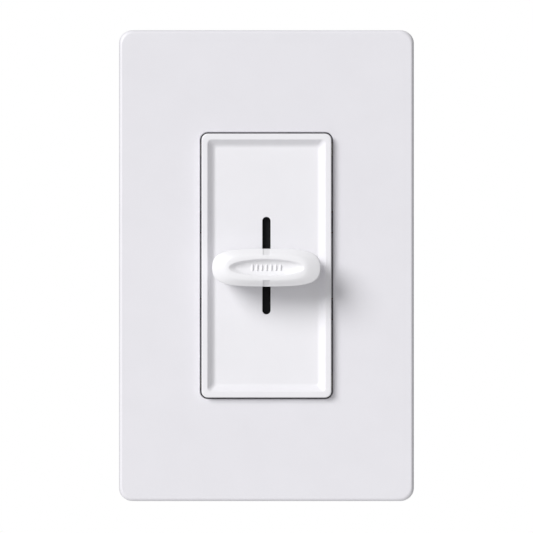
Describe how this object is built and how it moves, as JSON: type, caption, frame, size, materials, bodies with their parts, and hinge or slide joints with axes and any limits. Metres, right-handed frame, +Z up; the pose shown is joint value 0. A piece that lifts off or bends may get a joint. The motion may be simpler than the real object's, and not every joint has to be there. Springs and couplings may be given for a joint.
{
  "type": "slide dimmer switch",
  "caption": "Slide dimmer with an oval knob on a vertical slot, a recessed faceplate, a screwless wallplate, a metal yoke and a black back housing.",
  "frame": {"origin": "on the wall surface (the yoke's rear face), midway between the two box screws", "axes": "+Y into the wall, so the front faces -Y; +Z up; +X to the right as seen from the front"},
  "size_m": [0.0746, 0.0484, 0.119],
  "materials": {
    "plate_white": "fine satin gloss, near-white",
    "face_white": "fine satin gloss, near-white",
    "knob_white": "satin gloss, near-white",
    "adapter_white": "moulded, matt",
    "yoke_metal": "stamped sheet, satin",
    "screw_steel": "zinc plated",
    "white_enamel": "enamelled screw heads",
    "retainer_fibre": "vulcanised fibre",
    "ground_green": "green passivated",
    "nylon_grey": "moulded nylon",
    "shutter_black": "matt black film",
    "spring_steel": "polished strip",
    "contact_brass": "tinned brass strip",
    "rail_brass": "brass strip",
    "sheet_fibre": "insulating paper",
    "spacer_ivory": "moulded frame",
    "board_phenolic": "phenolic board",
    "track_carbon": "carbon film",
    "track_silver": "silvered film",
    "solder": "bright solder",
    "triac_black": "moulded epoxy",
    "tab_metal": "tinned copper tab",
    "lead_tin": "tinned wire",
    "pad_grey": "thermal pad",
    "core_yellow": "coated iron powder",
    "winding_copper": "enamelled copper wire",
    "film_yellow": "boxed film capacitor",
    "film_green": "dipped film capacitor",
    "diac_blue": "glass body, lacquered",
    "resistor_tan": "lacquered body",
    "trimmer_blue": "moulded case",
    "rotor_white": "moulded rotor",
    "terminal_brass": "brass strip",
    "housing_black": "moulded phenolic, matt"
  },
  "bodies": {
    "base": {"wallplate_cover": "plate_white", "wallplate_adapter": "adapter_white", "adapter_screws": "white_enamel", "faceplate": "face_white", "yoke": "yoke_metal", "box_screws": "screw_steel", "screw_retainers": "retainer_fibre", "ground_screw": "ground_green", "insulator_sheet": "sheet_fibre", "board_spacer": "spacer_ivory", "circuit_board": "board_phenolic", "resistance_track": "track_carbon", "collector_strip": "track_silver", "switch_rails": "rail_brass", "solder_joints": "solder", "triac_body": "triac_black", "triac_tab": "tab_metal", "triac_leads": "lead_tin", "triac_pad": "pad_grey", "triac_rivet": "screw_steel", "choke_core": "core_yellow", "choke_winding": "winding_copper", "filter_capacitor": "film_yellow", "timing_capacitor": "film_green", "diac": "diac_blue", "resistors": "resistor_tan", "component_leads": "lead_tin", "trimmer_base": "trimmer_blue", "terminal_plates": "terminal_brass", "terminal_screws": "terminal_brass", "back_housing": "housing_black", "housing_rivets": "screw_steel"},
    "slider": {"knob": "knob_white", "slide_actuator": "nylon_grey", "dust_shutter": "shutter_black", "drag_spring": "spring_steel", "wiper_carrier": "nylon_grey", "wiper_contact": "contact_brass", "switch_bridge": "contact_brass"},
    "trimmer": {"trimmer_rotor": "rotor_white"}
  },
  "joints": [
    {"name": "slider_travel", "type": "slide", "parent": "base", "child": "slider", "axis": [0, 0, 1], "range_m": [-0.009, 0.01]},
    {"name": "trimmer_turn", "type": "hinge", "parent": "base", "child": "trimmer", "pos_m": [0.0114, 0.0083, 0.0055], "axis": [0, 1, 0], "range_deg": [-120, 120]}
  ]
}
